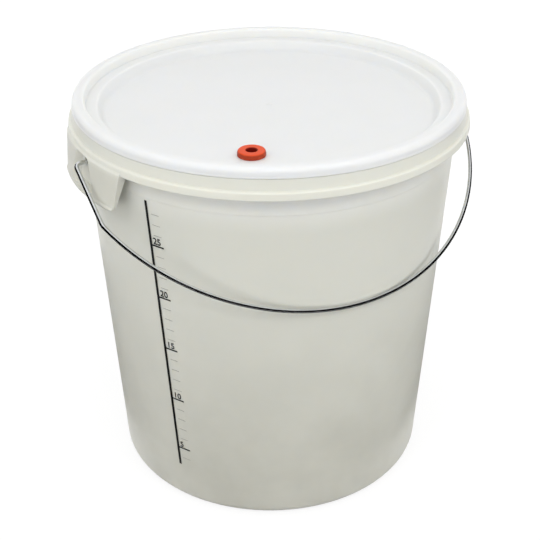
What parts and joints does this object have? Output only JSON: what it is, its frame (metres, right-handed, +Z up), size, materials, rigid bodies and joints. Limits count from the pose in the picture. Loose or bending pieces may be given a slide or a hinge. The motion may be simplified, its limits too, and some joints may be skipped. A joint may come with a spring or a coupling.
{
  "type": "fermenting bucket with lid and wire bail",
  "caption": "Tapered plastic brewing bucket with a stepped collar, press-on lid, rubber airlock grommet and a wire bail hooked into its ears.",
  "frame": {"origin": "centre of the foot ring, on the bucket's axis, at the plane it stands on", "axes": "+Z up along the bucket's axis, -Y towards the front, +X to the right"},
  "size_m": [0.3935, 0.3808, 0.3915],
  "materials": {
    "bucket": "milky, slightly translucent, semi-gloss",
    "lid": "milky, slightly translucent, semi-gloss",
    "grommet": "matte orange-red rubber",
    "bail": "bright zinc plating"
  },
  "bodies": {
    "bucket": {"bucket": "bucket"},
    "lid": {"lid": "lid", "grommet": "grommet"},
    "bail": {"bail": "bail"}
  },
  "joints": [
    {"name": "lid_lift", "type": "slide", "parent": "bucket", "child": "lid", "axis": [0, 0, 1], "range_m": [0, 0.04]},
    {"name": "bail_swing", "type": "hinge", "parent": "bucket", "child": "bail", "pos_m": [0, 0, 0.3563], "axis": [-0.8695, -0.4939, 0], "range_deg": [0, 245.5]}
  ]
}
